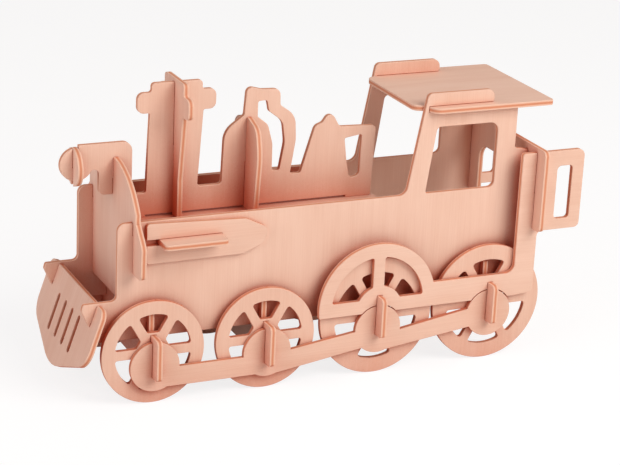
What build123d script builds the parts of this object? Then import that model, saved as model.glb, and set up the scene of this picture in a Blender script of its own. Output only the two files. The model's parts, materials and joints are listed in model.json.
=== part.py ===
from build123d import *
import os
from math import asin, cos, degrees, radians, sin

# A steam locomotive that slots together from flat plywood plates.
# Millimetres. +X is forward (towards the cowcatcher), +Y is the locomotive's left, +Z is up.
# While it is drawn, the wheels stand on Z = 0. At the end every piece is moved together, so that
# the origin is the middle of the base of the whole locomotive's box.

# ---- stock and fit
PLY = 3.0                  # thickness of every plate
FIT = 0.12                 # clearance each side of a slot
TINY_ROUND = 0.5           # corners left by the cutting rule
HALF_PLY = PLY / 2

# ---- hull
BODY_WIDTH = 66.0          # over the outer faces of the side panels
PANEL_TOP = 96.0
PANEL_BOTTOM = 33.5
PANEL_FRONT = 121.0
PANEL_REAR = -118.0
HORN_TOP = 54.8            # the horns that carry the cowcatcher
HORN_REACH = 18.5
HORN_UNDERCUT = 8.0
DECK_TOP = 87.0
DECK_REAR = -36.0
FIN_FRONT = 100.0          # the deck's side tabs
FIN_REAR = 66.0
FIN_REACH = 13.0

# ---- cab
ROOF_UNDERSIDE = 141.0
ROOF_WIDTH = 76.0
ROOF_REAR = -122.5
ROOF_SHOULDER = -50.0      # where the roof meets the end of its slots
ROOF_TONGUE = 7.0
FINGER_RISE = 7.0          # finger height above the roof
FINGER_REAR = -88.5
PILLAR_LEAN = 0.177        # backward lean of the front pillar, mm per mm
PILLAR_FOOT = -39.6
PILLAR_WIDTH = 11.0
CAB_REAR = -103.5
WINDOW_REAR = -92.3
WINDOW_TOP = 132.5
TAIL_TOP = 114.5

# ---- wheels and axle boards, front to back
AXLE_X = (103.4, 41.4, -22.3, -89.0)
WHEEL_RADIUS = (27.7, 27.7, 32.6, 32.6)
TONGUE_BOTTOM = (15.0, 15.0, 23.0, 23.0)
TONGUE_HEIGHT = 22.0
LOBE_TOP = (50.0, 50.0, 55.0, 55.0)
LOBE_REACH = 3.5           # how far the lobes stand out of the side panels
TONGUE_REACH = 17.0        # how far the tongues stand out of the side panels
RUN_GAP = 0.3              # between two plates that lie side by side
SPOKE_WIDTH = 5.0
RIM_SHARE = 0.252          # rim width as a share of the wheel's radius
HUB_RADIUS = 9.3
WINDOWS = 6
WINDOW_CORNER = 1.1
SLOT_MARGIN = 1.6          # wood between a wheel's slot and the window above or below it

# ---- coupling rods and wheel frames
BOSS_Z = (20.7, 20.7, 26.0, 27.4)
BOSS_RADIUS = 13.3
BOSS_GAP = 0.5             # between a boss and the wheel frame round it
# each bar: height above the boss centre of its top and bottom edge, at its front and rear end
BAR_EDGES = (((-1.2, -11.6), (-1.2, -11.6)), ((-2.0, -13.0), (1.5, -8.5)), ((-4.0, -13.0), (5.5, -5.5)))
ARCH_X = -21.3
ARCH_Z = 40.0
ARCH_RADIUS = 34.0
ARCH_RING = 7.2
ARCH_SPOKE = 6.4
ARCH_HUB_DROP = 8.0        # middle of the arch's hub below the top of the tongue
FRAME_BOTTOM = 35.6
FRAME_BAR_TOP = 49.0
COLUMN_FRONT = -103.4
TAIL_FRAME_TOP = 116.5
TAIL_FRAME_BOTTOM = 71.7
TAIL_FRAME_REAR = -141.6
TAIL_FRAME_BORDER = 7.0    # round its window: rear, beside the column, top and foot
TAIL_FRAME_INNER = 9.6
TAIL_FRAME_HEAD = 8.6
TAIL_FRAME_FOOT = 6.0
COLUMN_REACH = 0.6         # how far the column stands behind the rear cross plate
ARCH_SILL = 7.4            # height of the bar under the arch's openings
REAR_CROSS_X = -115.0      # rear face of the rear cross plate
REAR_CROSS_TOP = 119.0
REAR_CROSS_BOTTOM = 73.4
REAR_CROSS_WIDTH = 102.0
DOORWAY_WIDTH = 40.0
DOORWAY_TOP = 103.0

# ---- smokebox front and lamp
FRONT_X = 110.0            # rear face of the front plate
ARCH_CENTRE_Z = 79.1
SMOKEBOX_RADIUS = 42.0
FRONT_BOTTOM = 47.5
WING_WIDTH = 90.6
WING_BOTTOM = 69.0
WING_TOP = 92.5
FRONT_LAP = 89.5           # where the front plate and the panels meet in their slots
LAMP_Z = 118.6
LAMP_X = 132.4
LAMP_NOSE = 8.8
LAMP_DISC_Z = 117.2
LAMP_RADIUS = 10.0
LAMP_PLATE_X = 131.4       # rear face of the lamp disc
ARM_TOP = 128.6
ARM_UNDERSIDE = 115.0
ARM_REAR = 102.8
ARM_LEG_FRONT = 120.5
ARM_BOTTOM = 101.2
ARM_LAP = 109.5

# ---- boiler top
PROFILE_FRONT_TOP = 100.0
CHIMNEY_X = 79.0
CHIMNEY_HALF = 14.6
CHIMNEY_LAP = 125.0
CROWN_Z = 142.6            # underside of the crown
CROWN_HALF = 21.4
CROWN_LOBE = 10.8
CROWN_TOP = 158.3
CROWN_CAP_HALF = 13.8
CROSS_CROWN_TOP = 160.0
CROSS_FOOT_HALF = 8.4
CROSS_FLARE_Z = 108.0      # where the cross plate starts to widen
CROSS_NECK_HALF = 13.2
SADDLE_Z = 101.0           # the low stretches between chimney, dome and tank
DOME_CROSS_X = 37.3        # rear face of the dome's cross plate
DOME_LAP = 112.0
DOME_CROSS_TOP = 136.5
DOME_CROSS_HALF = 17.8
DOME_FOOT_HALF = 14.4
TANK_X = -20.0
TANK_FOOT_HALF = 13.8
FOOT_RELIEF = 1.1          # the boiler-top board stands on its two ends
FOOT_LENGTH = 15.0
FOOT_SLOPE = 0.6
# corners (along, up, corner radius), front to back, from the dome's cross plate and the saddle
DOME_OUTLINE = (
    (15.9, 0, 2), (15.1, 28.5, 11), (4.2, 36.5, 2), (3.1, 52, 3), (-5.3, 49.8, 6), (-15.7, 49.4, 3.5),
    (-16, 40.5, 2.5), (-24.9, 34.5, 10), (-25.7, 21, 14), (-22.9, 2, 1.5))
DOME_WINDOW = (
    (-3.3, 43.6, 1.2), (-8.4, 43.8, 1.5), (-9.7, 37.6, 2), (-17.7, 31.6, 7), (-19.3, 20, 16),
    (-16.7, 4.6, 1.5), (-12.5, 4.8, 1.5), (-12.3, 20, 12), (-9.3, 30.5, 5), (-3.3, 35.2, 1.5))
# the same from the tank's middle
TANK_OUTLINE = (
    (28.2, 2, 1.5), (20.6, 27.5, 4), (16.4, 29, 3), (11.9, 35.5, 3), (6.4, 26, 3), (-15.2, 25.2, 2.5))
TANK_WINDOW = ((3.1, 19.3, 1.2), (-7.2, 20.9, 1.2), (-6.7, -2.4, 2.8), (-0.6, -3.4, 2.4), (1.4, 7, 4))

# ---- cowcatcher
COW_X = 130.0
COW_Z = 53.5
COW_TILT = 19.0            # degrees, foot forward
COW_WIDTH = 85.0
COW_SHOULDER = 30.0
COW_DROP = 47.0
COW_LAP = 10.0
COW_SLOTS = 4
COW_SLOT_PITCH = 11.0
COW_SLOT_LENGTH = 20.5
COW_SLOT_WIDTH = 3.6
COW_SLOT_MIDDLE = 22.0

# ---- cylinders
CYLINDER_FRONT = 106.6
CYLINDER_REAR = 39.8
CYLINDER_TOP = 95.6
CYLINDER_BOTTOM = 74.2

# ---- worked out
OUTER = BODY_WIDTH / 2
INNER = OUTER - PLY
ROOF_TOP = ROOF_UNDERSIDE + PLY
WHEEL_Y = OUTER + LOBE_REACH + RUN_GAP
ROD_Y = WHEEL_Y + PLY + RUN_GAP
DECK_UNDERSIDE = DECK_TOP - PLY
TONGUE_TOP = tuple(bottom + TONGUE_HEIGHT for bottom in TONGUE_BOTTOM)
NOTCH_TOP = tuple((top + PANEL_BOTTOM) / 2 for top in LOBE_TOP)
REAR_LAP = (REAR_CROSS_BOTTOM + TAIL_TOP) / 2
CLEAR = 1.0                # how far a cut runs past an open edge


# ---- drawing helpers
def outline(*corners):
    """A flat shape from corners (across, up, corner radius)."""
    points = [(across, up) for across, up, _ in corners]
    radii = [radius for _, _, radius in corners]
    return make_face(FilletPolyline(*points, radius=radii, close=True))


def both_sides(*corners):
    """A shape that is the same left and right, from the corners of its positive half."""
    middle = [corner for corner in corners if corner[0] == 0]
    half = [corner for corner in corners if corner[0] != 0]
    other = [(-across, up, radius) for across, up, radius in reversed(half)]
    first = [corner for corner in middle if corner is corners[0]]
    last = [corner for corner in middle if corner is not corners[0]]
    return outline(*first, *half, *last, *other)


def both_sides_level(*corners):
    """A level shape that is the same on both sides of Y = 0, from its left half."""
    other = [(along, -across, radius) for along, across, radius in reversed(corners)]
    return outline(*corners, *other)


def block(low_across, high_across, low_up, high_up):
    """A rectangle between two corners."""
    centre = Pos((low_across + high_across) / 2, (low_up + high_up) / 2)
    return centre * Rectangle(high_across - low_across, high_up - low_up)


def slot_at(start, low_up, high_up):
    """The gap for a plate that starts at this coordinate."""
    return block(start - FIT, start + PLY + FIT, low_up, high_up)


def long_plate(shape, inner_face):
    """A plate along the locomotive, drawn across X and up Z."""
    face = Plane(origin=(0, inner_face + PLY, 0), x_dir=(1, 0, 0), z_dir=(0, -1, 0))
    return extrude(face * shape, amount=PLY)


def cross_plate(shape, rear_face):
    """A plate across the locomotive, drawn across Y and up Z."""
    face = Plane(origin=(rear_face, 0, 0), x_dir=(0, 1, 0), z_dir=(1, 0, 0))
    return extrude(face * shape, amount=PLY)


def level_plate(shape, underside):
    """A plate that lies flat, drawn across X and along Y."""
    return extrude(Plane.XY.offset(underside) * shape, amount=PLY)


# ---- hull
def pillar_x(height):
    """The front edge of the cab's front pillar at a height."""
    return PILLAR_FOOT - PILLAR_LEAN * (height - PANEL_TOP)


def cow_plane():
    """The cowcatcher's own plane, with its top edge along the local X axis."""
    tilt = radians(COW_TILT)
    return Plane(origin=(COW_X, 0, COW_Z), x_dir=(0, 1, 0), z_dir=(cos(tilt), 0, sin(tilt)))


def cow_slab(shape, thickness):
    """A slab of a shape in the cowcatcher's plane."""
    return extrude(cow_plane() * shape, amount=thickness / 2, both=True)


def side_panel():
    finger_top = ROOF_TOP + FINGER_RISE
    shape = outline(
        (PANEL_REAR, PANEL_BOTTOM, 2), (PANEL_FRONT + HORN_REACH - HORN_UNDERCUT, PANEL_BOTTOM, 1),
        (PANEL_FRONT + HORN_REACH, HORN_TOP - 3, 2), (PANEL_FRONT + HORN_REACH - 0.8, HORN_TOP, 1.2),
        (PANEL_FRONT, HORN_TOP, 3), (PANEL_FRONT, PANEL_TOP, 4),
        (PILLAR_FOOT, PANEL_TOP, 5), (pillar_x(finger_top), finger_top, 3),
        (FINGER_REAR, finger_top, 4), (FINGER_REAR, ROOF_TOP + FIT, 1),
        (ROOF_SHOULDER + FIT, ROOF_TOP + FIT, 0),
        (ROOF_SHOULDER + FIT, ROOF_UNDERSIDE - FIT, 0),
        (CAB_REAR, ROOF_UNDERSIDE - FIT, 1), (CAB_REAR, TAIL_TOP + 2.5, 2), (PANEL_REAR, TAIL_TOP, 3))
    window = outline(
        (pillar_x(PANEL_TOP) - PILLAR_WIDTH, PANEL_TOP, 1.5),
        (pillar_x(WINDOW_TOP) - PILLAR_WIDTH + 1.5, WINDOW_TOP, 2.5),
        (WINDOW_REAR, WINDOW_TOP, 5), (WINDOW_REAR, PANEL_TOP, 3.5))
    shape -= window
    shape -= slot_at(FRONT_X, FRONT_LAP - FIT, PANEL_TOP + CLEAR)
    shape -= slot_at(REAR_CROSS_X, REAR_LAP - FIT, TAIL_TOP + PLY + CLEAR)
    for axle, top in zip(AXLE_X, NOTCH_TOP):
        shape -= slot_at(axle - HALF_PLY, PANEL_BOTTOM - CLEAR, top + FIT)
    shape -= block(FIN_REAR - FIT, FIN_FRONT + FIT, DECK_UNDERSIDE - FIT, DECK_TOP + FIT)
    panel = long_plate(shape, INNER)
    seat = block(-OUTER - CLEAR, OUTER + CLEAR, -COW_DROP, FIT - COW_LAP)
    return panel - cow_slab(seat, PLY + 2 * FIT)


def deck_board():
    side = INNER - FIT
    reach = OUTER + FIN_REACH
    shape = both_sides_level(
        (FRONT_X - FIT, side, TINY_ROUND), (FIN_FRONT, side, TINY_ROUND), (FIN_FRONT, reach, 2),
        (FIN_REAR, reach, 2), (FIN_REAR, side, TINY_ROUND), (DECK_REAR, side, 2))
    return level_plate(shape, DECK_UNDERSIDE)


def rear_cross_plate():
    half = REAR_CROSS_WIDTH / 2
    shape = both_sides((half, REAR_CROSS_BOTTOM, 3), (half, REAR_CROSS_TOP, 3))
    doorway = both_sides(
        (DOORWAY_WIDTH / 2, REAR_CROSS_BOTTOM - CLEAR, 0), (DOORWAY_WIDTH / 2, DOORWAY_TOP, 8))
    shape -= doorway
    for start in (INNER, ROD_Y):
        for low in (start, -start - PLY):
            shape -= slot_at(low, REAR_CROSS_BOTTOM - CLEAR, REAR_LAP + FIT)
    return cross_plate(shape, REAR_CROSS_X)


def roof_board():
    side = INNER - FIT
    half = ROOF_WIDTH / 2
    shape = both_sides_level(
        (ROOF_SHOULDER + ROOF_TONGUE, side, 5), (ROOF_SHOULDER, side, TINY_ROUND),
        (ROOF_SHOULDER, half, 6), (ROOF_REAR, half, 2))
    return level_plate(shape, ROOF_UNDERSIDE)


# ---- smokebox front and lamp
def front_plate():
    wing = WING_WIDTH / 2
    shape = Pos(0, ARCH_CENTRE_Z) * Circle(SMOKEBOX_RADIUS)
    shape &= block(-OUTER - PLY, OUTER + PLY, ARCH_CENTRE_Z, ARCH_CENTRE_Z + SMOKEBOX_RADIUS)
    shape += both_sides((INNER - FIT, FRONT_BOTTOM, 2), (INNER - FIT, FRONT_LAP + CLEAR, 0))
    shape += both_sides(
        (wing, WING_BOTTOM, 3), (wing + 0.6, WING_TOP - 6, 5), (OUTER + PLY, WING_TOP + 4, 1))
    for low in (INNER, -OUTER):
        shape -= slot_at(low, FRONT_BOTTOM - CLEAR, FRONT_LAP + FIT)
    shape -= slot_at(-HALF_PLY, ARM_LAP - FIT, ARCH_CENTRE_Z + SMOKEBOX_RADIUS + CLEAR)
    return cross_plate(shape, FRONT_X)


def lamp_arm():
    shape = outline(
        (ARM_REAR, ARM_BOTTOM, 1.5), (ARM_LEG_FRONT, ARM_BOTTOM, 3), (ARM_LEG_FRONT, ARM_UNDERSIDE, 2.5),
        (LAMP_X, ARM_UNDERSIDE, 0), (LAMP_X, ARM_TOP, 0), (ARM_REAR, ARM_TOP, 5))
    shape += Pos(LAMP_X, LAMP_Z) * Circle(LAMP_NOSE)
    shape -= slot_at(FRONT_X, ARM_BOTTOM - CLEAR, ARM_LAP + FIT)
    shape -= slot_at(LAMP_PLATE_X, LAMP_DISC_Z - FIT, ARM_TOP + CLEAR)
    return long_plate(shape, -HALF_PLY)


def lamp_disc():
    shape = Pos(0, LAMP_DISC_Z) * Circle(LAMP_RADIUS)
    shape -= slot_at(-HALF_PLY, LAMP_DISC_Z - LAMP_RADIUS - CLEAR, LAMP_DISC_Z + FIT)
    return cross_plate(shape, LAMP_PLATE_X)


# ---- boiler top
def chimney_corners(x, cap_top):
    """The corners of the flared chimney crown on one side, from its neck to its cap."""
    return (
        (x + CHIMNEY_HALF, CROWN_Z, 1), (x + CROWN_HALF, CROWN_Z, 3.5),
        (x + CROWN_HALF, CROWN_Z + CROWN_LOBE, 3.5), (x + CROWN_CAP_HALF, CROWN_Z + CROWN_LOBE, 1.5),
        (x + CROWN_CAP_HALF, cap_top, 2))


def flipped(corners, x):
    """The same corners on the other side of a line across the shape."""
    return tuple((2 * x - across, up, radius) for across, up, radius in reversed(corners))


def seen_from(x, corners):
    """Corners that are given from a place along the boiler and the saddle's height."""
    return tuple((x + across, SADDLE_Z + up, radius) for across, up, radius in corners)


def centre_profile():
    crown = chimney_corners(CHIMNEY_X, CROWN_TOP)
    foot_front = FRONT_X - FIT - FOOT_LENGTH
    foot_rear = TANK_X - TANK_FOOT_HALF + FOOT_LENGTH
    relieved = DECK_TOP + FOOT_RELIEF
    shape = outline(
        (FRONT_X - FIT, DECK_TOP, TINY_ROUND), (FRONT_X - FIT, PROFILE_FRONT_TOP, 1.5),
        (CHIMNEY_X + CHIMNEY_HALF + 1.5, PROFILE_FRONT_TOP, 1.5), *crown, *flipped(crown, CHIMNEY_X),
        (CHIMNEY_X - CHIMNEY_HALF + 2.5, SADDLE_Z, 2), *seen_from(DOME_CROSS_X, DOME_OUTLINE),
        *seen_from(TANK_X, TANK_OUTLINE), (TANK_X - TANK_FOOT_HALF, DECK_TOP, TINY_ROUND),
        (foot_rear, DECK_TOP, 0), (foot_rear - FOOT_SLOPE, relieved, 0),
        (foot_front + FOOT_SLOPE, relieved, 0), (foot_front, DECK_TOP, 0))
    shape -= outline(*seen_from(DOME_CROSS_X, DOME_WINDOW))
    shape -= outline(*seen_from(TANK_X, TANK_WINDOW))
    shape -= slot_at(CHIMNEY_X - HALF_PLY, CHIMNEY_LAP - FIT, CROSS_CROWN_TOP + CLEAR)
    shape -= slot_at(DOME_CROSS_X, DECK_TOP - CLEAR, DOME_LAP + FIT)
    return long_plate(shape, -HALF_PLY)


def chimney_cross():
    crown = chimney_corners(0, CROSS_CROWN_TOP)
    neck = (CROSS_NECK_HALF, CROWN_Z, 1)
    shape = both_sides(
        (CROSS_FOOT_HALF, DECK_TOP, TINY_ROUND), (CROSS_FOOT_HALF, CROSS_FLARE_Z, 20), neck, *crown[1:])
    shape -= slot_at(-HALF_PLY, DECK_TOP - CLEAR, CHIMNEY_LAP + FIT)
    return cross_plate(shape, CHIMNEY_X - HALF_PLY)


def dome_cross():
    shape = both_sides(
        (DOME_FOOT_HALF, DECK_TOP, TINY_ROUND), (DOME_CROSS_HALF, 120, 30),
        (DOME_CROSS_HALF - 3.6, DOME_CROSS_TOP - 3.4, 8), (3.5, DOME_CROSS_TOP, 2))
    shape -= slot_at(-HALF_PLY, DOME_LAP - FIT, DOME_CROSS_TOP + CLEAR)
    return cross_plate(shape, DOME_CROSS_X)


# ---- front and sides
def cowcatcher():
    half = COW_WIDTH / 2
    shape = both_sides((half, 0, 5), (half, -COW_SHOULDER, 12), (0, -COW_DROP, 30))
    for index in range(COW_SLOTS):
        across = (index - (COW_SLOTS - 1) / 2) * COW_SLOT_PITCH
        gap = SlotOverall(COW_SLOT_LENGTH, COW_SLOT_WIDTH, rotation=90)
        shape -= Pos(across, -COW_SLOT_MIDDLE) * gap
    for low in (INNER, -OUTER):
        shape -= slot_at(low, -COW_LAP - FIT, CLEAR)
    return cow_slab(shape, PLY)


def cylinder_plate():
    middle = (CYLINDER_TOP + CYLINDER_BOTTOM) / 2
    shape = outline(
        (CYLINDER_FRONT, CYLINDER_BOTTOM, 1.5), (CYLINDER_FRONT, CYLINDER_TOP, 2),
        (CYLINDER_REAR + 13, CYLINDER_TOP - 2.2, 6), (CYLINDER_REAR, middle + 2.2, 4),
        (CYLINDER_REAR + 3, middle - 5.5, 4), (CYLINDER_REAR + 14, CYLINDER_BOTTOM + 0.4, 6))
    shape -= block(FIN_REAR - FIT, CYLINDER_FRONT + CLEAR, DECK_UNDERSIDE - FIT, DECK_TOP + FIT)
    return long_plate(shape, OUTER)


# ---- running gear
def axle_board(index):
    bottom = TONGUE_BOTTOM[index]
    tongue = OUTER + TONGUE_REACH
    lobe = OUTER + LOBE_REACH
    shape = both_sides(
        (tongue, bottom, 2), (tongue, TONGUE_TOP[index], 2.5), (lobe, TONGUE_TOP[index], TINY_ROUND),
        (lobe, LOBE_TOP[index], 1.4))
    for low in (INNER, -OUTER):
        shape -= slot_at(low, NOTCH_TOP[index] - FIT, LOBE_TOP[index] + CLEAR)
    return cross_plate(shape, AXLE_X[index] - HALF_PLY)


def polar(radius, angle):
    return (radius * cos(radians(angle)), radius * sin(radians(angle)))


def wheel_window(inner, outer, angle):
    """One opening between two spokes, with rounded corners."""
    half_pitch = 180 / WINDOWS
    near = half_pitch - degrees(asin(SPOKE_WIDTH / 2 / inner))
    far = half_pitch - degrees(asin(SPOKE_WIDTH / 2 / outer))
    start = polar(outer, angle - far)
    end = polar(outer, angle + far)
    edges = [
        Line(polar(inner, angle - near), start),
        ThreePointArc(start, polar(outer, angle), end),
        Line(end, polar(inner, angle + near)),
        Line(polar(inner, angle + near), polar(inner, angle - near))]
    shape = make_face(Wire(edges))
    return fillet(shape.vertices(), WINDOW_CORNER)


def wheel(index):
    radius = WHEEL_RADIUS[index]
    outer = radius * (1 - RIM_SHARE)
    tongue_low = TONGUE_BOTTOM[index] - FIT
    tongue_high = TONGUE_TOP[index] + FIT
    disc = Circle(radius)
    for step in range(WINDOWS):
        angle = 90 + step * 360 / WINDOWS
        clear_of_tongue = {0: tongue_high - radius, 3: radius - tongue_low}.get(step, 0) + SLOT_MARGIN
        disc -= wheel_window(max(HUB_RADIUS, clear_of_tongue), outer, angle)
    shape = Pos(AXLE_X[index], radius) * disc
    shape -= slot_at(AXLE_X[index] - HALF_PLY, tongue_low, tongue_high)
    return long_plate(shape, WHEEL_Y)


def coupling_rod():
    bosses = [Pos(x, z) * Circle(BOSS_RADIUS) for x, z in zip(AXLE_X, BOSS_Z)]
    shape = bosses[0]
    for boss in bosses[1:]:
        shape += boss
    for index, (front, rear) in enumerate(BAR_EDGES):
        front_x, rear_x = AXLE_X[index], AXLE_X[index + 1]
        front_z, rear_z = BOSS_Z[index], BOSS_Z[index + 1]
        shape += outline(
            (front_x, front_z + front[0], 0), (rear_x, rear_z + rear[0], 0),
            (rear_x, rear_z + rear[1], 0), (front_x, front_z + front[1], 0))
    for axle, bottom, boss in zip(AXLE_X, TONGUE_BOTTOM, BOSS_Z):
        shape -= slot_at(axle - HALF_PLY, bottom - FIT, boss + BOSS_RADIUS + CLEAR)
    return long_plate(shape, ROD_Y)


def arch_window(side):
    """One of the two openings under the wheel arch, on one side of its spoke."""
    inner = ARCH_RADIUS - ARCH_RING
    low = FRAME_BOTTOM + ARCH_SILL
    ring = Pos(ARCH_X, ARCH_Z) * Circle(inner)
    start = ARCH_X + side * ARCH_SPOKE / 2
    end = ARCH_X + side * inner
    shape = ring & block(min(start, end), max(start, end), low, ARCH_Z + inner)
    shape -= Pos(AXLE_X[2], TONGUE_TOP[2] - ARCH_HUB_DROP) * Circle(BOSS_RADIUS)
    return fillet(shape.vertices(), 1.2)


def wheel_frame():
    column_rear = REAR_CROSS_X - COLUMN_REACH
    shape = Pos(ARCH_X, ARCH_Z) * Circle(ARCH_RADIUS)
    shape &= block(ARCH_X - ARCH_RADIUS, ARCH_X + ARCH_RADIUS, FRAME_BOTTOM, ARCH_Z + ARCH_RADIUS)
    shape += outline(
        (ARCH_X, FRAME_BOTTOM, 0), (ARCH_X, FRAME_BAR_TOP, 0), (COLUMN_FRONT, FRAME_BAR_TOP, 5),
        (COLUMN_FRONT, TAIL_FRAME_TOP, 1.5), (TAIL_FRAME_REAR, TAIL_FRAME_TOP, 4),
        (TAIL_FRAME_REAR, TAIL_FRAME_BOTTOM, 3), (column_rear, TAIL_FRAME_BOTTOM, 3),
        (column_rear, FRAME_BOTTOM + 1, 3), (COLUMN_FRONT, FRAME_BOTTOM, 0))
    shape -= arch_window(1)
    shape -= arch_window(-1)
    window_front = column_rear - TAIL_FRAME_INNER
    window_rear = TAIL_FRAME_REAR + TAIL_FRAME_BORDER
    window_top = TAIL_FRAME_TOP - TAIL_FRAME_HEAD
    window_foot = TAIL_FRAME_BOTTOM + TAIL_FRAME_FOOT
    shape -= outline(
        (window_front, window_top, 2.5), (window_rear, window_top, 2),
        (window_rear, window_foot, 2), (window_front, window_foot, 2.5))
    for index in (2, 3):
        shape -= Pos(AXLE_X[index], BOSS_Z[index]) * Circle(BOSS_RADIUS + BOSS_GAP)
        shape -= slot_at(AXLE_X[index] - HALF_PLY, FRAME_BOTTOM - CLEAR, TONGUE_TOP[index] + FIT)
    shape -= slot_at(REAR_CROSS_X, REAR_LAP - FIT, TAIL_FRAME_TOP + CLEAR)
    return long_plate(shape, ROD_Y)


# ---- assembly
def pair(name, left_piece):
    """The left piece and its mirror image on the right."""
    return {f"{name}_left": left_piece, f"{name}_right": mirror(left_piece, about=Plane.XZ)}


def all_pieces():
    pieces = {
        "centre_profile": centre_profile(),
        "deck_board": deck_board(),
        "front_plate": front_plate(),
        "lamp_arm": lamp_arm(),
        "lamp_disc": lamp_disc(),
        "chimney_cross": chimney_cross(),
        "dome_cross": dome_cross(),
        "cowcatcher": cowcatcher(),
        "rear_cross_plate": rear_cross_plate(),
        "roof_board": roof_board()}
    pieces |= pair("side_panel", side_panel())
    pieces |= pair("cylinder_plate", cylinder_plate())
    pieces |= pair("coupling_rod", coupling_rod())
    pieces |= pair("wheel_frame", wheel_frame())
    for index in range(len(AXLE_X)):
        pieces[f"axle_board_{index + 1}"] = axle_board(index)
        pieces |= pair(f"wheel_{index + 1}", wheel(index))
    return pieces


def main():
    os.makedirs("parts", exist_ok=True)
    pieces = all_pieces()
    boxes = [piece.bounding_box() for piece in pieces.values()]
    front = max(box.max.X for box in boxes)
    rear = min(box.min.X for box in boxes)
    base = min(box.min.Z for box in boxes)
    move = Pos(-(front + rear) / 2, 0, -base)
    print(f"length {front - rear:.2f}, shift in X {-(front + rear) / 2:.3f}, in Z {-base:.3f}")
    for name, piece in pieces.items():
        placed = move * piece
        placed.label = name
        export_step(placed, f"parts/{name}.step")


main()
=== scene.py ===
"""A slot-together plywood locomotive: rounded, grained and layered plates around its fixed frame."""
import json
import math

import bmesh
import bpy
from bpy.props import FloatProperty, FloatVectorProperty, IntProperty, PointerProperty
from mathutils import Matrix, Vector


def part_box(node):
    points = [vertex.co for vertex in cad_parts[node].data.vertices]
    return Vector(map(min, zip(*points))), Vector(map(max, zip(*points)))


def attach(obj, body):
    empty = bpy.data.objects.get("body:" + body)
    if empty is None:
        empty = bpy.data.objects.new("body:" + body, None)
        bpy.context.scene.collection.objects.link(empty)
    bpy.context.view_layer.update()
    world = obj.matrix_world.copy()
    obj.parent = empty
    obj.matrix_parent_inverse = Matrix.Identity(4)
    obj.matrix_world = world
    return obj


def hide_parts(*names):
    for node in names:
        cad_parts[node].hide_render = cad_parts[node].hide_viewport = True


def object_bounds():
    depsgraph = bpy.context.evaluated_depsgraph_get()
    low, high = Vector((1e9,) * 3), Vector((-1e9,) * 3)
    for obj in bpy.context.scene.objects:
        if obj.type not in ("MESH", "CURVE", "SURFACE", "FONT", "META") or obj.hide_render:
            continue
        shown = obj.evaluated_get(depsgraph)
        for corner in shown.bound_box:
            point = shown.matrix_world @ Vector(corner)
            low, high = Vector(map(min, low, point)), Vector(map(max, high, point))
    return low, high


bl_info = {
    "name": "Plywood locomotive puzzle",
    "version": (1, 0, 0),
    "blender": (4, 5, 0),
    "location": "View3D > Sidebar > Locomotive",
    "description": "Rounds, grains and lights the plates of a slot-together plywood locomotive",
    "category": "Object",
}

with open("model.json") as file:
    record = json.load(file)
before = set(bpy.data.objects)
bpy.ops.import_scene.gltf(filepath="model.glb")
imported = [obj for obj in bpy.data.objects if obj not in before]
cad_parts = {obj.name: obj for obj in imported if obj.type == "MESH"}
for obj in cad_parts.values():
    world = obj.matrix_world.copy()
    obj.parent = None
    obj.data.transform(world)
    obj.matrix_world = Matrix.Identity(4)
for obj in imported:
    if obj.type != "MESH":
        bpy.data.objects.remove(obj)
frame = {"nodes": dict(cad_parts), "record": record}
CAD_BOX = [list(corner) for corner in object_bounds()]
NODES = frame["nodes"]
BODY_OF = {
    node: body
    for body, members in frame["record"]["behaviour"]["bodies"].items()
    for node in members
}

MM = 0.001
WELD = 1e-6                      # vertices closer than this are one
FLAT = math.radians(0.5)         # faces that differ by less are one face
CUT_CORNER = math.radians(38)    # edges sharper than this are rounded
SMOOTH_UNDER = math.radians(42)  # edges gentler than this shade smoothly
GOLDEN = 0.618034                # spreads the plates over the stock sheet without repeats
SIDES = ("left", "right")
AXLES = (1, 2, 3, 4)
WHITE = (1.0, 1.0, 1.0, 1.0)


# ---- sizes and colours that a user would change
class PlateSettings(bpy.types.PropertyGroup):
    # at 0.35 mm the rounding folds over itself at the smallest corners
    rounding: FloatProperty(
        name="Edge rounding", description="Radius of the soft, sanded cut edges",
        default=0.28 * MM, min=0.1 * MM, max=0.3 * MM, unit="LENGTH")
    rounding_steps: IntProperty(
        name="Rounding steps", description="Faces across each rounded edge", default=3, min=1, max=6)


class WheelSettings(bpy.types.PropertyGroup):
    rim_share: FloatProperty(
        name="Rim share", description="Rim width as a share of the wheel's radius",
        default=0.252, min=0.1, max=0.5, subtype="FACTOR")
    hub_radius: FloatProperty(
        name="Hub radius", description="Radius of the solid middle",
        default=9.3 * MM, min=5 * MM, max=15 * MM, unit="LENGTH")
    spoke_width: FloatProperty(
        name="Spoke width", description="Width of each spoke",
        default=5 * MM, min=2 * MM, max=9 * MM, unit="LENGTH")
    corner: FloatProperty(
        name="Window corner", description="Corner radius of the windows",
        default=1.5 * MM, min=0.2 * MM, max=3 * MM, unit="LENGTH")
    tongue_height: FloatProperty(
        name="Tongue height", description="Height of the axle board's tongue",
        default=22 * MM, min=10 * MM, max=30 * MM, unit="LENGTH")
    fit: FloatProperty(
        name="Fit", description="Clearance round the tongue",
        default=0.12 * MM, min=0, max=0.5 * MM, unit="LENGTH")
    nubs: IntProperty(
        name="Nubs", description="Break-off nubs left on each wheel's rim", default=2, min=0, max=6)
    nub_radius: FloatProperty(
        name="Nub radius", description="Radius of a break-off nub",
        default=0.5 * MM, min=0.1 * MM, max=1.5 * MM, unit="LENGTH")


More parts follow.
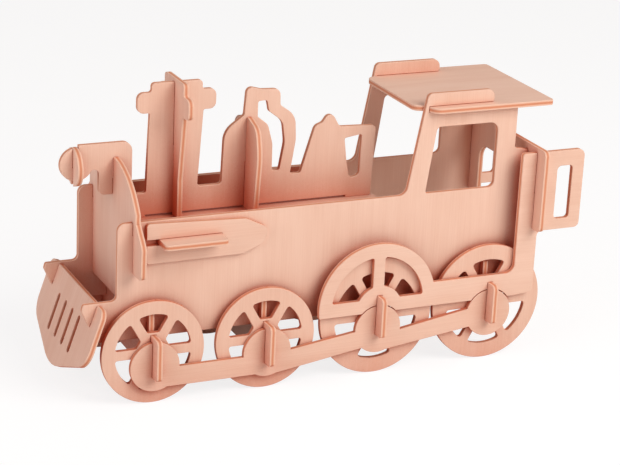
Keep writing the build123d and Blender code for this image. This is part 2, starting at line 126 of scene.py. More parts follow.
class WoodSettings(bpy.types.PropertyGroup):
    face_light: FloatVectorProperty(
        name="Face, light", description="Palest streaks of the face veneer",
        default=(0.90, 0.62, 0.485), size=3, subtype="COLOR", min=0, max=1)
    face_dark: FloatVectorProperty(
        name="Face, dark", description="Darkest streaks of the face veneer",
        default=(0.81, 0.505, 0.375), size=3, subtype="COLOR", min=0, max=1)
    wall: FloatVectorProperty(
        name="Cut wall", description="Outer plies where they are cut",
        default=(0.82, 0.48, 0.33), size=3, subtype="COLOR", min=0, max=1)
    core: FloatVectorProperty(
        name="Core ply", description="Middle ply where it is cut",
        default=(0.70, 0.27, 0.15), size=3, subtype="COLOR", min=0, max=1)
    # painted shade: the deep red that the wood is darkened to where plates meet and little light reaches,
    # and how far that darkening spreads
    painted_shade: FloatVectorProperty(
        name="Painted shade", description="The wood where plates meet and little light reaches",
        default=(0.56, 0.12, 0.055), size=3, subtype="COLOR", min=0, max=1)
    painted_shade_reach: FloatProperty(
        name="Painted shade reach", description="How far the darker tone spreads from where plates meet",
        default=46 * MM, min=2 * MM, max=80 * MM, unit="LENGTH")
    fibre_pitch: FloatProperty(
        name="Fibre pitch", description="Distance between the fine fibres of the veneer",
        default=0.7 * MM, min=0.2 * MM, max=3 * MM, unit="LENGTH")
    fibre_length: FloatProperty(
        name="Fibre length", description="Length of a fibre streak",
        default=30 * MM, min=5 * MM, max=200 * MM, unit="LENGTH")
    bump: FloatProperty(
        name="Grain height", description="Height of the raised grain",
        default=0.05 * MM, min=0, max=0.5 * MM, unit="LENGTH")
    roughness: FloatProperty(
        name="Roughness", description="Roughness of the bare sanded face",
        default=0.6, min=0, max=1, subtype="FACTOR")


class StageSettings(bpy.types.PropertyGroup):
    azimuth: FloatProperty(
        name="Azimuth", description="Camera's turn about the locomotive, from a look along +Y",
        default=math.radians(154.99), subtype="ANGLE")
    elevation: FloatProperty(
        name="Elevation", description="Camera's height above the horizon",
        default=math.radians(19.53), subtype="ANGLE")
    roll: FloatProperty(
        name="Roll", description="Camera's tilt about its own axis",
        default=math.radians(2.76), subtype="ANGLE")
    distance: FloatProperty(
        name="Distance", description="From the camera to the point it looks at",
        default=1.1227, min=0.2, unit="LENGTH")
    aim: FloatVectorProperty(
        name="Aim", description="The point that the camera looks at",
        default=(-0.0111, -0.0195, 0.0605), size=3, subtype="XYZ", unit="LENGTH")
    lens: FloatProperty(
        name="Focal length", description="Lens length in millimetres", default=118.44, min=20, max=300)
    key: FloatProperty(
        name="Key lamp", description="Power of the large lamp above the rear left", default=14, min=0)
    fill: FloatProperty(
        name="Fill lamp", description="Power of the lamp ahead of the locomotive", default=6.5, min=0)
    ambient: FloatProperty(
        name="Ambient", description="Strength of the light from all round", default=0.27, min=0)


# ---- node helpers
def add_node(tree, kind, values=None, **settings):
    """Adds a node. values gives inputs by name or index, as plain values or as sockets to link."""
    made = tree.nodes.new(kind)
    for name, setting in settings.items():
        setattr(made, name, setting)
    for key, value in (values or {}).items():
        if isinstance(value, bpy.types.NodeSocket):
            tree.links.new(value, made.inputs[key])
        else:
            made.inputs[key].default_value = value
    return made


def calc(tree, operation, *values):
    """The result of a Math node."""
    return add_node(tree, "ShaderNodeMath", dict(enumerate(values)), operation=operation).outputs[0]


def remap(tree, value, low, high, to_low=0.0, to_high=1.0):
    """Smoothly maps a value from one range to another, held at its ends."""
    values = {0: value, 1: low, 2: high, 3: to_low, 4: to_high}
    made = add_node(tree, "ShaderNodeMapRange", values, interpolation_type="SMOOTHSTEP")
    return made.outputs[0]


def mix_colour(tree, factor, first, second, blend_type="MIX"):
    """The result of a colour Mix node."""
    made = add_node(tree, "ShaderNodeMix", data_type="RGBA", blend_type=blend_type)
    for socket, value in ((made.inputs[0], factor), (made.inputs[6], first), (made.inputs[7], second)):
        if isinstance(value, bpy.types.NodeSocket):
            tree.links.new(value, socket)
        else:
            socket.default_value = value
    return made.outputs[2]


def new_group(name, kind, inputs, outputs):
    """An empty node group with its sockets, and its input and output nodes."""
    tree = bpy.data.node_groups.new(name, kind)
    for label, socket_type, default in inputs:
        socket = tree.interface.new_socket(label, in_out="INPUT", socket_type=socket_type)
        if default is not None:
            socket.default_value = default
    for label, socket_type in outputs:
        tree.interface.new_socket(label, in_out="OUTPUT", socket_type=socket_type)
    return tree, tree.nodes.new("NodeGroupInput").outputs, tree.nodes.new("NodeGroupOutput").inputs


def opaque(colour):
    return (*colour, 1.0)


# ---- shared shader groups
FIBRE_SHARE = 0.35            # what each size of noise adds to the streaks
BAND_SHARE = 0.3
CLOUD_SHARE = 0.35
PORE_RANGE = (0.66, 0.74)     # noise past this is a pore
PORE_DEPTH = 0.6              # of a fibre's height


def veneer_grain():
    """Streaks, fine fibres and pores of rotary-cut veneer, from a sheet position in metres."""
    tree, given, result = new_group(
        "veneer_grain", "ShaderNodeTree",
        (("Sheet", "NodeSocketVector", None), ("Fibre Pitch", "NodeSocketFloat", 0.7 * MM),
         ("Fibre Length", "NodeSocketFloat", 30 * MM)),
        (("Streaks", "NodeSocketFloat"), ("Pores", "NodeSocketFloat"), ("Height", "NodeSocketFloat")))
    along = calc(tree, "DIVIDE", 1.0, given["Fibre Length"])
    across = calc(tree, "DIVIDE", 1.0, given["Fibre Pitch"])

    def noise(run, pitch, detail, distortion):
        """Noise stretched along the grain, with each axis scaled from the fibre's size."""
        scale = add_node(tree, "ShaderNodeCombineXYZ", {
            0: calc(tree, "MULTIPLY", along, run), 1: calc(tree, "MULTIPLY", across, pitch)})
        place = add_node(tree, "ShaderNodeVectorMath", {0: given["Sheet"], 1: scale.outputs[0]},
                         operation="MULTIPLY")
        made = add_node(tree, "ShaderNodeTexNoise", {
            "Vector": place.outputs[0], "Scale": 1.0, "Detail": detail, "Distortion": distortion})
        return made.outputs[0]

    fibres = noise(run=1.0, pitch=1.0, detail=3.0, distortion=0.0)
    bands = noise(run=0.25, pitch=0.09, detail=3.0, distortion=0.8)
    clouds = noise(run=0.5, pitch=0.03, detail=2.0, distortion=0.3)
    pores = remap(tree, noise(run=9.0, pitch=1.6, detail=1.0, distortion=0.0), *PORE_RANGE)
    banded = calc(tree, "MULTIPLY", remap(tree, bands, 0.25, 0.75), BAND_SHARE)
    fibred = calc(tree, "MULTIPLY_ADD", remap(tree, fibres, 0.25, 0.75), FIBRE_SHARE, banded)
    streaks = calc(tree, "MULTIPLY_ADD", remap(tree, clouds, 0.3, 0.7), CLOUD_SHARE, fibred)
    height = calc(tree, "SUBTRACT", fibres, calc(tree, "MULTIPLY", pores, PORE_DEPTH))
    tree.links.new(streaks, result["Streaks"])
    tree.links.new(pores, result["Pores"])
    tree.links.new(height, result["Height"])
    return tree


# places through a plate's thickness: 0 is its middle, and 1 its face
WALL_RANGE = (0.99, 0.93)     # the face gives way to the cut wall
PALE_PLY_AND_HIGHLIGHT_RANGE = (0.55, 0.8)     # the pale outer ply of the wall, with a painted highlight along its rounded edge
CORE_RANGE = (0.42, 0.28)     # the outer ply gives way to the core
PLY_WANDER = 0.22             # how far the core's bounds wander
WANDERS_PER_METRE = 220.0
TEARS_PER_METRE = 1500.0      # torn fibres on the cut wall


def ply_layers():
    """Masks of the cut edge of three-ply board, from the place through its thickness, -1 to 1."""
    tree, given, result = new_group(
        "ply_layers", "ShaderNodeTree",
        (("Through", "NodeSocketFloat", 0.0), ("Sheet", "NodeSocketVector", None)),
        (("Wall", "NodeSocketFloat"), ("Core", "NodeSocketFloat"), ("Pale Ply And Highlight", "NodeSocketFloat"),
         ("Height", "NodeSocketFloat")))
    wander = add_node(tree, "ShaderNodeTexNoise", {
        "Vector": given["Sheet"], "Scale": WANDERS_PER_METRE, "Detail": 2.0})
    wandering = calc(tree, "MULTIPLY_ADD", calc(tree, "SUBTRACT", wander.outputs[0], 0.5), PLY_WANDER,
                     given["Through"])
    depth = calc(tree, "ABSOLUTE", wandering)
    edge = calc(tree, "ABSOLUTE", given["Through"])
    wall = remap(tree, edge, *WALL_RANGE)
    core = calc(tree, "MULTIPLY", remap(tree, depth, *CORE_RANGE), wall)
    # pale outer ply of the cut wall, partly its own pale colour and partly a painted highlight along the
    # rounded edge
    pale_ply_and_highlight = calc(tree, "MULTIPLY", remap(tree, edge, *PALE_PLY_AND_HIGHLIGHT_RANGE), wall)
    torn = add_node(tree, "ShaderNodeTexNoise", {
        "Vector": given["Sheet"], "Scale": TEARS_PER_METRE, "Detail": 2.0})
    height = calc(tree, "MULTIPLY", torn.outputs[0], wall)
    for name, mask in (("Wall", wall), ("Core", core), ("Pale Ply And Highlight", pale_ply_and_highlight), ("Height", height)):
        tree.links.new(mask, result[name])
    return tree


# ---- materials
SHEEN = 0.3                   # specular level of bare wood
PORE_TONE = 0.25              # how far a pore takes the cut wall's colour
PALE_PLY_AND_HIGHLIGHT_TONE = 0.75             # how far the pale outer ply and its painted highlight take the pale veneer's colour
PAINTED_SHADE_RANGE = (0.72, 0.12)  # share of open air over which the painted shade comes in
ROUGHNESS_SPREAD = 0.12       # smoother on pale streaks, rougher on the cut wall
TEAR_HEIGHT = 1.5             # of a fibre's height
BUMP_STRENGTH = 0.6
ROSY_WARMTH = 0.22


def plywood(name, groups, wood, warmth):
    """Bare sanded plywood, with painted shade where plates meet and a painted highlight on its rounded
    edges. warmth is how far this board leans to its darker, rosier veneer.
    """
    material = bpy.data.materials.new(name)
    material.use_nodes = True
    tree = material.node_tree
    shader = tree.nodes["Principled BSDF"]
    shader.inputs["Specular IOR Level"].default_value = SHEEN
    sheet = add_node(tree, "ShaderNodeUVMap", uv_map="sheet").outputs[0]
    through = add_node(tree, "ShaderNodeAttribute", attribute_name="through").outputs["Fac"]
    grain = add_node(tree, "ShaderNodeGroup", node_tree=groups["grain"])
    tree.links.new(sheet, grain.inputs["Sheet"])
    grain.inputs["Fibre Pitch"].default_value = wood.fibre_pitch
    grain.inputs["Fibre Length"].default_value = wood.fibre_length
    plies = add_node(tree, "ShaderNodeGroup", node_tree=groups["plies"])
    tree.links.new(sheet, plies.inputs["Sheet"])
    tree.links.new(through, plies.inputs["Through"])

    dark, light = opaque(wood.face_dark), opaque(wood.face_light)
    face_factor = calc(tree, "SUBTRACT", grain.outputs["Streaks"], warmth)
    face = mix_colour(tree, face_factor, dark, light)
    pore_tone = calc(tree, "MULTIPLY", grain.outputs["Pores"], PORE_TONE)
    pored = mix_colour(tree, pore_tone, face, opaque(wood.wall))
    walled = mix_colour(tree, plies.outputs["Wall"], pored, opaque(wood.wall))
    cored = mix_colour(tree, plies.outputs["Core"], walled, opaque(wood.core))
    # the pale outer ply of the cut wall, with a painted highlight along the rounded edge
    pale_ply_and_highlight_tone = calc(tree, "MULTIPLY", plies.outputs["Pale Ply And Highlight"], PALE_PLY_AND_HIGHLIGHT_TONE)
    highlighted_colour = mix_colour(tree, pale_ply_and_highlight_tone, cored, light)
    # painted shade: where the Ambient Occlusion node finds little open air round a spot, its colour is
    # darkened towards the deep red of shade between plates
    open_air = add_node(tree, "ShaderNodeAmbientOcclusion", {"Distance": wood.painted_shade_reach}, samples=8)
    painted_shade_mask = remap(tree, open_air.outputs["AO"], *PAINTED_SHADE_RANGE)
    shade_painted_colour = mix_colour(tree, painted_shade_mask, highlighted_colour, opaque(wood.painted_shade))
    tree.links.new(shade_painted_colour, shader.inputs["Base Color"])
    rough = calc(tree, "MULTIPLY_ADD", grain.outputs["Streaks"], -ROUGHNESS_SPREAD,
                 wood.roughness + ROUGHNESS_SPREAD / 2)
    rougher = calc(tree, "MULTIPLY_ADD", plies.outputs["Wall"], ROUGHNESS_SPREAD, rough)
    tree.links.new(rougher, shader.inputs["Roughness"])
    height = calc(tree, "MULTIPLY_ADD", plies.outputs["Height"], TEAR_HEIGHT, grain.outputs["Height"])
    bump = add_node(tree, "ShaderNodeBump", {
        "Height": height, "Distance": wood.bump, "Strength": BUMP_STRENGTH})
    tree.links.new(bump.outputs[0], shader.inputs["Normal"])
    return material


def stock(sheet):
    """The material of a stock sheet. Both sheets are made the first time that one is asked for."""
    if sheet not in bpy.data.materials:
        groups = {"grain": veneer_grain(), "plies": ply_layers()}
        wood = bpy.context.scene.locomotive_wood
        plywood("pale_plywood", groups, wood, 0.0)
        plywood("rosy_plywood", groups, wood, ROSY_WARMTH)
    return bpy.data.materials[sheet]


# ---- plates
def merged(mesh):
    """Merges doubles and joins the coplanar triangles of a mesh."""
    work = bmesh.new()
    work.from_mesh(mesh)
    bmesh.ops.remove_doubles(work, verts=work.verts, dist=WELD)
    bmesh.ops.dissolve_limit(work, angle_limit=FLAT, verts=work.verts, edges=work.edges)
    work.to_mesh(mesh)
    work.free()
    return mesh


def round_edges(piece, settings):
    """Rounds every cut edge, and leaves a plain mesh with no modifier."""
    bevel = piece.modifiers.new("rounded_edges", "BEVEL")
    bevel.width = settings.rounding
    bevel.segments = settings.rounding_steps
    bevel.limit_method = "ANGLE"
    bevel.angle_limit = CUT_CORNER
    bevel.use_clamp_overlap = False
    bevel.loop_slide = False
    bevel.harden_normals = True
    piece.data.shade_smooth()
    piece.data.set_sharp_from_angle(angle=SMOOTH_UNDER)
    make_plain(piece)


def make_plain(piece):
    """Turns what a piece's modifiers make into its own mesh, and removes them."""
    evaluated = piece.evaluated_get(bpy.context.evaluated_depsgraph_get())
    plain = bpy.data.meshes.new_from_object(evaluated)
    piece.modifiers.clear()
    piece.data = plain


def lay_on_sheet(piece, grain):
    """Gives a plate its place through its thickness, and its place on the sheet it was cut from."""
    mesh = piece.data
    normal = max(mesh.polygons, key=lambda face: face.area).normal.normalized()
    along = (Vector(grain) - normal * normal.dot(grain)).normalized()
    across = normal.cross(along)
    depths = [normal.dot(vertex.co) for vertex in mesh.vertices]
    middle = (max(depths) + min(depths)) / 2
    half = (max(depths) - min(depths)) / 2
    through = mesh.attributes.new("through", "FLOAT", "POINT")
    through.data.foreach_set("value", [(depth - middle) / half for depth in depths])
    order = sorted(NODES).index(piece["plate"])
    start = Vector((order * GOLDEN % 1, order * GOLDEN * GOLDEN % 1))
    places = [Vector((along.dot(vertex.co), across.dot(vertex.co))) + start for vertex in mesh.vertices]
    sheet = mesh.uv_layers.new(name="sheet")
    sheet.data.foreach_set("uv", [part for loop in mesh.loops for part in places[loop.vertex_index]])


def add_piece(context, node, mesh, sheet, grain):
    """A finished plate that stands for a node of the frame and moves with its body."""
    piece = bpy.data.objects.new(node + "_plate", mesh)
    context.scene.collection.objects.link(piece)
    piece["plate"] = node
    round_edges(piece, context.scene.locomotive_plates)
    piece.data.materials.clear()
    piece.data.materials.append(stock(sheet))
    lay_on_sheet(piece, grain)
    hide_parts(node)
    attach(piece, BODY_OF[node])
    return piece


class PlateMaker:
    """Rounds and finishes the plates of some nodes."""

    nodes = ()
    sheet = "pale_plywood"
    grain = (1, 0, 0)

    def execute(self, context):
        for node in self.nodes:
            mesh = merged(NODES[node].data.copy())
            mesh.name = node + "_plate"
            add_piece(context, node, mesh, self.sheet, self.grain)
        return {"FINISHED"}


class SidePanels(PlateMaker, bpy.types.Operator):
    """The hull and cab sides, with their window and the horn for the cowcatcher"""

    bl_idname = "locomotive.side_panels"
    bl_label = "Side panels"
    nodes = tuple(f"side_panel_{side}" for side in SIDES)
    grain = (0, 0, 1)


class BoilerTop(PlateMaker, bpy.types.Operator):
    """The board of chimney, dome and tank along the middle"""

    bl_idname = "locomotive.boiler_top"
    bl_label = "Boiler top"
    nodes = ("centre_profile",)
    grain = (0, 0, 1)


class CrossPlates(PlateMaker, bpy.types.Operator):
    """The cross plates of the chimney and the dome"""

    bl_idname = "locomotive.cross_plates"
    bl_label = "Chimney and dome cross plates"
    nodes = ("chimney_cross", "dome_cross")
    sheet = "rosy_plywood"
    grain = (0, 0, 1)


class LevelBoards(PlateMaker, bpy.types.Operator):
    """The deck with its side tabs, and the cab roof"""

    bl_idname = "locomotive.level_boards"
    bl_label = "Deck and roof"
    nodes = ("deck_board", "roof_board")


class Cylinders(PlateMaker, bpy.types.Operator):
    """The pointed cylinder plates on the hull's sides"""

    bl_idname = "locomotive.cylinders"
    bl_label = "Cylinders"
    nodes = tuple(f"cylinder_plate_{side}" for side in SIDES)


class FrontPlate(PlateMaker, bpy.types.Operator):
    """The arched smokebox front with its wings"""

    bl_idname = "locomotive.front_plate"
    bl_label = "Smokebox front"
    nodes = ("front_plate",)
    sheet = "rosy_plywood"
    grain = (0, 0, 1)


class Lamp(PlateMaker, bpy.types.Operator):
    """The headlamp's arm and disc"""

    bl_idname = "locomotive.lamp"
    bl_label = "Lamp"
    nodes = ("lamp_arm", "lamp_disc")
    grain = (0, 0, 1)


class Cowcatcher(PlateMaker, bpy.types.Operator):
    """The slotted, tilted cowcatcher"""

    bl_idname = "locomotive.cowcatcher"
    bl_label = "Cowcatcher"
    nodes = ("cowcatcher",)
    sheet = "rosy_plywood"
    grain = (0, 0, 1)


class AxleBoards(PlateMaker, bpy.types.Operator):
    """The boards whose tongues carry the wheels and rods"""

    bl_idname = "locomotive.axle_boards"
    bl_label = "Axle boards"
    nodes = tuple(f"axle_board_{index}" for index in AXLES)
    sheet = "rosy_plywood"
    grain = (0, 1, 0)


class Rods(PlateMaker, bpy.types.Operator):
    """The coupling rods that join the wheels"""

    bl_idname = "locomotive.rods"
    bl_label = "Coupling rods"
    nodes = tuple(f"coupling_rod_{side}" for side in SIDES)
    sheet = "rosy_plywood"


class WheelFrames(PlateMaker, bpy.types.Operator):
    """The arch, bar, column and tail frame over the rear wheels"""

    bl_idname = "locomotive.wheel_frames"
    bl_label = "Wheel frames"
    nodes = tuple(f"wheel_frame_{side}" for side in SIDES)


class RearCrossPlate(PlateMaker, bpy.types.Operator):
    """The cross plate behind the cab, with its doorway"""

    bl_idname = "locomotive.rear_cross_plate"
    bl_label = "Rear cross plate"
    nodes = ("rear_cross_plate",)
    sheet = "rosy_plywood"
    grain = (0, 0, 1)


# ---- wheels
WINDOWS = 6
ARC_POINTS = 12                      # points on the outer arc of a window
WINDOW_POINTS = ARC_POINTS + 2       # and its two inner corners
CORNER_POINTS = 4                    # on each rounded corner of a window
RIM_POINTS = 144
WOOD_BY_SLOT = 1.6 * MM              # between the slot and the window above or below it
SAME = 0.1                           # whole numbers closer than this are equal
NUB_ARC = (math.radians(55), math.radians(150))   # part of the rim that nubs are left on
NUB_PLACE = 0.6                      # of the way through the thickness
WHEEL_INPUTS = (
    ("Radius", 0.03), ("Rim Share", 0.25), ("Hub Radius", 9 * MM), ("Spoke Width", 5 * MM),
    ("Corner", 1.5 * MM), ("Thickness", 3 * MM), ("Slot Width", 3.2 * MM), ("Tongue Top", 10 * MM),
    ("Tongue Foot", -10 * MM), ("Nub Radius", 0.5 * MM))


def window_outlines(tree, given):
    """The curves of the windows between the spokes, each rounded at its corners."""
    index = add_node(tree, "GeometryNodeInputIndex").outputs[0]
    window = calc(tree, "FLOOR", calc(tree, "DIVIDE", index, float(WINDOW_POINTS)))
    step = calc(tree, "MODULO", index, float(WINDOW_POINTS))
    outer = calc(tree, "MULTIPLY", given["Radius"], calc(tree, "SUBTRACT", 1.0, given["Rim Share"]))
    is_top = calc(tree, "COMPARE", window, 0.0, SAME)
    is_foot = calc(tree, "COMPARE", window, WINDOWS / 2, SAME)
    above = calc(tree, "MULTIPLY", is_top, calc(tree, "ADD", given["Tongue Top"], WOOD_BY_SLOT))
    below = calc(tree, "MULTIPLY", is_foot, calc(tree, "SUBTRACT", WOOD_BY_SLOT, given["Tongue Foot"]))
    inner = calc(tree, "MAXIMUM", given["Hub Radius"], calc(tree, "MAXIMUM", above, below))
    half_spoke = calc(tree, "DIVIDE", given["Spoke Width"], 2.0)

    def half_angle(radius):
        """Half the angle that a window spans at a radius, between parallel-sided spokes."""
        return calc(tree, "SUBTRACT", math.pi / WINDOWS,
                    calc(tree, "ARCSINE", calc(tree, "DIVIDE", half_spoke, radius)))

    on_arc = calc(tree, "LESS_THAN", step, ARC_POINTS - 0.5)
    sweep = calc(tree, "SUBTRACT", calc(tree, "MULTIPLY", step, 2.0 / (ARC_POINTS - 1)), 1.0)
    arc_angle = calc(tree, "MULTIPLY", half_angle(outer), sweep)
    corner = calc(tree, "SUBTRACT", step, float(ARC_POINTS))
    side = calc(tree, "SUBTRACT", 1.0, calc(tree, "MULTIPLY", 2.0, corner))
    hub_angle = calc(tree, "MULTIPLY", half_angle(inner), side)

    def choose(first, second):
        """first on the outer arc, and second at the two inner corners."""
        return add_node(tree, "ShaderNodeMix", {0: on_arc, 2: second, 3: first}).outputs[0]

    middle = calc(tree, "MULTIPLY_ADD", window, 2 * math.pi / WINDOWS, math.pi / 2)
    angle = calc(tree, "ADD", middle, choose(arc_angle, hub_angle))
    radius = choose(outer, inner)
    place = add_node(tree, "ShaderNodeCombineXYZ", {
        0: calc(tree, "MULTIPLY", radius, calc(tree, "COSINE", angle)),
        1: calc(tree, "MULTIPLY", radius, calc(tree, "SINE", angle))})
    points = add_node(tree, "GeometryNodePoints", {
        "Count": WINDOWS * WINDOW_POINTS, "Position": place.outputs[0]})
    curves = add_node(tree, "GeometryNodePointsToCurves", {
        0: points.outputs[0], "Curve Group ID": window, "Weight": step})
    closed = add_node(tree, "GeometryNodeSetSplineCyclic", {0: curves.outputs[0], "Cyclic": True})
    rounded = add_node(tree, "GeometryNodeFilletCurve", {
        "Curve": closed.outputs[0], "Count": CORNER_POINTS, "Radius": given["Corner"],
        "Limit Radius": True}, mode="POLY")
    return rounded.outputs[0]


def pierced_wheel():
    """A disc with a tongue slot and six windows, filled and given its thickness, with rim nubs."""
    inputs = [(label, "NodeSocketFloat", default) for label, default in WHEEL_INPUTS]
    inputs += [("Nubs", "NodeSocketInt", 2), ("Seed", "NodeSocketInt", 0),
               ("Material", "NodeSocketMaterial", None)]
    tree, given, result = new_group(
        "pierced_wheel", "GeometryNodeTree", inputs, (("Geometry", "NodeSocketGeometry"),))
    rim = add_node(tree, "GeometryNodeCurvePrimitiveCircle", {
        "Resolution": RIM_POINTS, "Radius": given["Radius"]})
    slot_height = calc(tree, "SUBTRACT", given["Tongue Top"], given["Tongue Foot"])
    slot = add_node(tree, "GeometryNodeCurvePrimitiveQuadrilateral", {
        0: given["Slot Width"], 1: slot_height})
    slot_middle = calc(tree, "MULTIPLY", calc(tree, "ADD", given["Tongue Top"], given["Tongue Foot"]), 0.5)
    slot_place = add_node(tree, "ShaderNodeCombineXYZ", {1: slot_middle})
    placed = add_node(tree, "GeometryNodeTransform", {
        0: slot.outputs[0], "Translation": slot_place.outputs[0]})
    outlines = add_node(tree, "GeometryNodeJoinGeometry")
    for curve in (rim.outputs[0], window_outlines(tree, given), placed.outputs[0]):
        tree.links.new(curve, outlines.inputs[0])
    face = add_node(tree, "GeometryNodeFillCurve", {0: outlines.outputs[0]}, mode="NGONS")
    raised = add_node(tree, "GeometryNodeExtrudeMesh", {
        "Mesh": face.outputs[0], "Offset Scale": given["Thickness"], "Individual": False})
    underside = add_node(tree, "GeometryNodeFlipFaces", {0: face.outputs[0]})
    solid = add_node(tree, "GeometryNodeJoinGeometry")
    tree.links.new(raised.outputs[0], solid.inputs[0])
    tree.links.new(underside.outputs[0], solid.inputs[0])
    welded = add_node(tree, "GeometryNodeMergeByDistance", {0: solid.outputs[0], "Distance": WELD})

    angle = add_node(tree, "FunctionNodeRandomValue", {
        2: NUB_ARC[0], 3: NUB_ARC[1], "Seed": given["Seed"]}, data_type="FLOAT").outputs[1]
    nub_place = add_node(tree, "ShaderNodeCombineXYZ", {
        0: calc(tree, "MULTIPLY", given["Radius"], calc(tree, "COSINE", angle)),
        1: calc(tree, "MULTIPLY", given["Radius"], calc(tree, "SINE", angle)),
        2: calc(tree, "MULTIPLY", given["Thickness"], NUB_PLACE)})
    nub_points = add_node(tree, "GeometryNodePoints", {
        "Count": given["Nubs"], "Position": nub_place.outputs[0]})
    nub = add_node(tree, "GeometryNodeMeshIcoSphere", {"Radius": given["Nub Radius"], "Subdivisions": 3})
    nubs = add_node(tree, "GeometryNodeInstanceOnPoints", {
        "Points": nub_points.outputs[0], "Instance": nub.outputs[0]})
    whole = add_node(tree, "GeometryNodeJoinGeometry")
    tree.links.new(welded.outputs[0], whole.inputs[0])
    tree.links.new(nubs.outputs[0], whole.inputs[0])
    real = add_node(tree, "GeometryNodeRealizeInstances", {0: whole.outputs[0]})
    painted = add_node(tree, "GeometryNodeSetMaterial", {0: real.outputs[0], "Material": given["Material"]})
    tree.links.new(painted.outputs[0], result["Geometry"])
    return tree


def tree_values(modifier, values):
    """Sets a Geometry Nodes modifier's inputs by their names."""
    for item in modifier.node_group.interface.items_tree:
        if item.item_type == "SOCKET" and item.in_out == "INPUT" and item.name in values:
            modifier[item.identifier] = values[item.name]


class Wheels(bpy.types.Operator):
    """The eight pierced wheels, on their axle boards' tongues"""

    bl_idname = "locomotive.wheels"
    bl_label = "Wheels"

    def execute(self, context):
        settings = context.scene.locomotive_wheels
        tree = pierced_wheel()
        for index in AXLES:
            tongue_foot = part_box(f"axle_board_{index}")[0].z - settings.fit
            for side in SIDES:
                self.make_wheel(context, tree, settings, f"wheel_{index}_{side}", tongue_foot)
        return {"FINISHED"}

    def make_wheel(self, context, tree, settings, node, tongue_foot):
        """One wheel, built flat and then stood up in its place."""
        low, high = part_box(node)
        radius = (high.x - low.x) / 2
        thickness = high.y - low.y
        centre = (low + high) / 2
        foot = tongue_foot - centre.z
        former = bpy.data.objects.new(node + "_former", bpy.data.meshes.new(node + "_former"))
        context.scene.collection.objects.link(former)
        modifier = former.modifiers.new("wheel", "NODES")
        modifier.node_group = tree
        tree_values(modifier, {
            "Radius": radius, "Rim Share": settings.rim_share, "Hub Radius": settings.hub_radius,
            "Spoke Width": settings.spoke_width, "Corner": settings.corner, "Thickness": thickness,
            "Slot Width": thickness + 2 * settings.fit, "Tongue Foot": foot,
            "Tongue Top": foot + settings.tongue_height + 2 * settings.fit,
            "Nub Radius": settings.nub_radius, "Nubs": settings.nubs,
            "Seed": sorted(NODES).index(node), "Material": stock("rosy_plywood")})
        make_plain(former)
        mesh = merged(former.data)
        bpy.data.objects.remove(former)
        upright = Matrix.Translation((centre.x, high.y, centre.z)) @ Matrix.Rotation(math.pi / 2, 4, "X")
        mesh.transform(upright)
        mesh.name = node + "_plate"
        add_piece(context, node, mesh, "rosy_plywood", (0, 0, 1))


# ---- stage
KEY_PLACE = (-0.55, 0.95, 0.95)
KEY_SIZE = 0.9
KEY_TINT = (1.0, 0.98, 0.95)
FILL_PLACE = (1.25, 0.35, 0.65)
FILL_SIZE = 1.0
FILL_TINT = (1.0, 0.92, 0.96)
SKY_TINT = (1.0, 0.86, 0.82)
FLOOR_HALF = 4.0              # half the floor's side, in metres
FLOOR_DROP = 0.1 * MM         # keeps the floor clear of the wheels' rims
FLOOR_TONE = (0.92, 0.92, 0.92, 1.0)
FLOOR_GLOW = 1.1
GLOW_SHARE = 0.75             # how much of the seen floor is glow, and the rest keeps shadows
SENSOR_WIDTH = 36             # millimetres


def turn_to(direction, roll=0.0):
    """A rotation that looks along a direction, with its up side tilted by roll."""
    return Vector(direction).to_track_quat("-Z", "Y").to_matrix().to_4x4() @ Matrix.Rotation(roll, 4, "Z")


def soft_lamp(context, name, place, size, power, colour):
    """A square area lamp that points at the middle of the locomotive."""
    lamp = bpy.data.lights.new(name, "AREA")
    lamp.size = size
    lamp.energy = power
    lamp.color = colour
    holder = bpy.data.objects.new(name, lamp)
    middle = (Vector(CAD_BOX[0]) + Vector(CAD_BOX[1])) / 2
    holder.matrix_world = Matrix.Translation(place) @ turn_to(middle - Vector(place))
    context.scene.collection.objects.link(holder)


def seen_directly(tree):
    """1 where the camera, a reflection or a refraction sees the surface, and 0 for its light on others."""
    path = add_node(tree, "ShaderNodeLightPath").outputs
    reflected = calc(tree, "MAXIMUM", path["Is Glossy Ray"], path["Is Transmission Ray"])
    return calc(tree, "MAXIMUM", path["Is Camera Ray"], reflected)


def white_surroundings(context, ambient):
    """A world that is white where it is seen, and gives a soft, slightly warm light."""
    world = bpy.data.worlds.new("surroundings")
    world.use_nodes = True
    tree = world.node_tree
    background = tree.nodes["Background"]
    seen = seen_directly(tree)
    tint = mix_colour(tree, seen, opaque(SKY_TINT), WHITE)
    strength = calc(tree, "MULTIPLY_ADD", seen, 1.0 - ambient, ambient)
    tree.links.new(tint, background.inputs["Color"])
    tree.links.new(strength, background.inputs["Strength"])
    context.scene.world = world


def pale_floor(context):
    """A wide pale floor that fades to white and keeps the object's soft shadow."""
    mesh = bpy.data.meshes.new("floor")
    turns = ((-1, -1), (1, -1), (1, 1), (-1, 1))
    corners = [(x * FLOOR_HALF, y * FLOOR_HALF, -FLOOR_DROP) for x, y in turns]
    mesh.from_pydata(corners, [], [(0, 1, 2, 3)])
    material = bpy.data.materials.new("pale_floor")
    material.use_nodes = True
    tree = material.node_tree
    tree.nodes.remove(tree.nodes["Principled BSDF"])
    matt = add_node(tree, "ShaderNodeBsdfDiffuse", {"Color": FLOOR_TONE})
    glow = add_node(tree, "ShaderNodeEmission", {"Color": WHITE, "Strength": FLOOR_GLOW})
    share = calc(tree, "MULTIPLY", seen_directly(tree), GLOW_SHARE)
    blend = add_node(tree, "ShaderNodeMixShader", {0: share, 1: matt.outputs[0], 2: glow.outputs[0]})
    tree.links.new(blend.outputs[0], tree.nodes["Material Output"].inputs["Surface"])
    mesh.materials.append(material)
    floor = bpy.data.objects.new("floor", mesh)
    context.scene.collection.objects.link(floor)


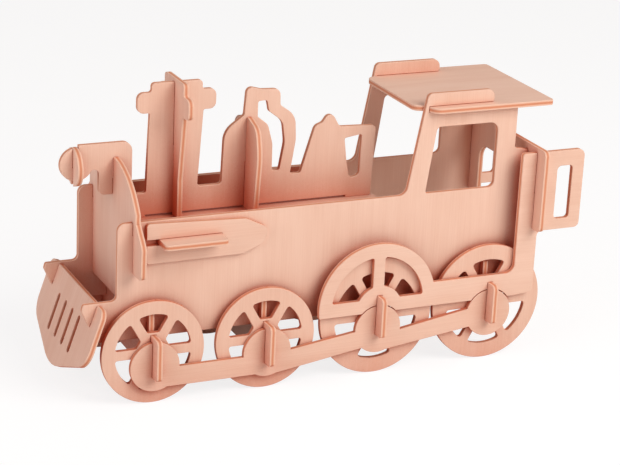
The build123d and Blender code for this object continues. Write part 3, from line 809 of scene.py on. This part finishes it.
class Stage(bpy.types.Operator):
    """The pale floor, white surroundings, soft lamps and camera"""

    bl_idname = "locomotive.stage"
    bl_label = "Stage"

    def execute(self, context):
        settings = context.scene.locomotive_stage
        pale_floor(context)
        white_surroundings(context, settings.ambient)
        soft_lamp(context, "key_lamp", KEY_PLACE, KEY_SIZE, settings.key, KEY_TINT)
        soft_lamp(context, "fill_lamp", FILL_PLACE, FILL_SIZE, settings.fill, FILL_TINT)
        camera = bpy.data.cameras.new("camera")
        camera.lens = settings.lens
        camera.sensor_width = SENSOR_WIDTH
        holder = bpy.data.objects.new("camera", camera)
        azimuth, elevation = settings.azimuth, settings.elevation
        level = math.cos(elevation)
        back = Vector((math.sin(azimuth) * level, -math.cos(azimuth) * level, math.sin(elevation)))
        place = Vector(settings.aim) + back * settings.distance
        holder.matrix_world = Matrix.Translation(place) @ turn_to(-back, settings.roll)
        context.scene.collection.objects.link(holder)
        context.scene.camera = holder
        context.scene.view_settings.view_transform = "Standard"
        return {"FINISHED"}


PIECE_OPERATORS = (
    SidePanels, BoilerTop, CrossPlates, LevelBoards, Cylinders, FrontPlate, Lamp, Cowcatcher,
    AxleBoards, Rods, WheelFrames, RearCrossPlate, Wheels, Stage)


class LocomotivePanel(bpy.types.Panel):
    """The locomotive's sizes, colours and makers"""

    bl_idname = "VIEW3D_PT_locomotive"
    bl_label = "Plywood locomotive"
    bl_space_type = "VIEW_3D"
    bl_region_type = "UI"
    bl_category = "Locomotive"

    def draw(self, context):
        for name in SETTINGS:
            settings = getattr(context.scene, name)
            box = self.layout.box()
            for key in settings.bl_rna.properties.keys():
                if key not in ("rna_type", "name"):
                    box.prop(settings, key)
        for operator in PIECE_OPERATORS:
            self.layout.operator(operator.bl_idname)


SETTINGS = {
    "locomotive_plates": PlateSettings,
    "locomotive_wheels": WheelSettings,
    "locomotive_wood": WoodSettings,
    "locomotive_stage": StageSettings,
}


def register():
    for cls in (*SETTINGS.values(), *PIECE_OPERATORS, LocomotivePanel):
        bpy.utils.register_class(cls)
    for name, settings in SETTINGS.items():
        setattr(bpy.types.Scene, name, PointerProperty(type=settings))


def unregister():
    for name in SETTINGS:
        delattr(bpy.types.Scene, name)
    for cls in reversed((*SETTINGS.values(), *PIECE_OPERATORS, LocomotivePanel)):
        bpy.utils.unregister_class(cls)


def main():
    register()
    for operator in PIECE_OPERATORS:
        group, name = operator.bl_idname.split(".")
        getattr(getattr(bpy.ops, group), name)()


if __name__ == "__main__":
    main()
